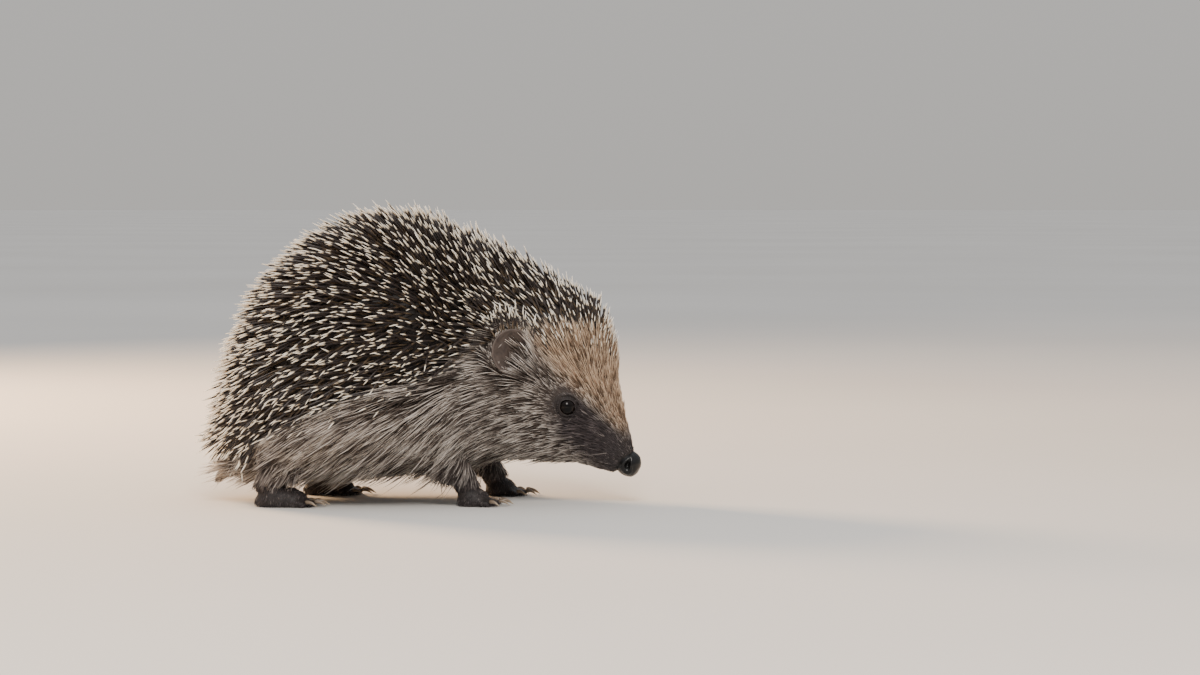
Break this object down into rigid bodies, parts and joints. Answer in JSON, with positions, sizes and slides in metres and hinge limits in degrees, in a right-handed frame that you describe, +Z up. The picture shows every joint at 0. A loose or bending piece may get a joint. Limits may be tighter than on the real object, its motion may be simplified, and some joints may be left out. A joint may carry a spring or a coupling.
{
  "type": "walking hedgehog model",
  "caption": "Life-size still model of a hedgehog walking with a hunched spiny back and its snout lowered to the ground, standing on four flat soles.",
  "frame": {"origin": "middle of the model's box, on the floor under the soles", "axes": "+X forward towards the nose, +Y to the animal's left, +Z up"},
  "size_m": [0.2194, 0.1308, 0.1507],
  "materials": {
    "spiny_coat": "banded cream and brown-black keratin spines",
    "fur": "coarse grey-brown hair",
    "face_fur": "short dark hair",
    "ear_skin": "thin bare skin with sparse hair",
    "bare_skin": "wrinkled dry skin",
    "nose_skin": "moist pebbled skin",
    "eye": "wet glossy black",
    "claw": "translucent horn"
  },
  "bodies": {
    "root": {"trunk": "spiny_coat", "neck": "spiny_coat", "head": "fur", "lower_jaw": "face_fur", "nose": "nose_skin", "tail": "bare_skin", "eye_right": "eye", "ear_right": "ear_skin", "eye_left": "eye", "ear_left": "ear_skin", "leg_front_right": "fur", "foot_front_right": "bare_skin", "claw_front_right_1": "claw", "claw_front_right_2": "claw", "claw_front_right_3": "claw", "claw_front_right_4": "claw", "claw_front_right_5": "claw", "leg_front_left": "fur", "foot_front_left": "bare_skin", "claw_front_left_1": "claw", "claw_front_left_2": "claw", "claw_front_left_3": "claw", "claw_front_left_4": "claw", "claw_front_left_5": "claw", "leg_hind_right": "fur", "foot_hind_right": "bare_skin", "claw_hind_right_1": "claw", "claw_hind_right_2": "claw", "claw_hind_right_3": "claw", "claw_hind_right_4": "claw", "claw_hind_right_5": "claw", "leg_hind_left": "fur", "foot_hind_left": "bare_skin", "claw_hind_left_1": "claw", "claw_hind_left_2": "claw", "claw_hind_left_3": "claw", "claw_hind_left_4": "claw", "claw_hind_left_5": "claw"}
  },
  "joints": []
}
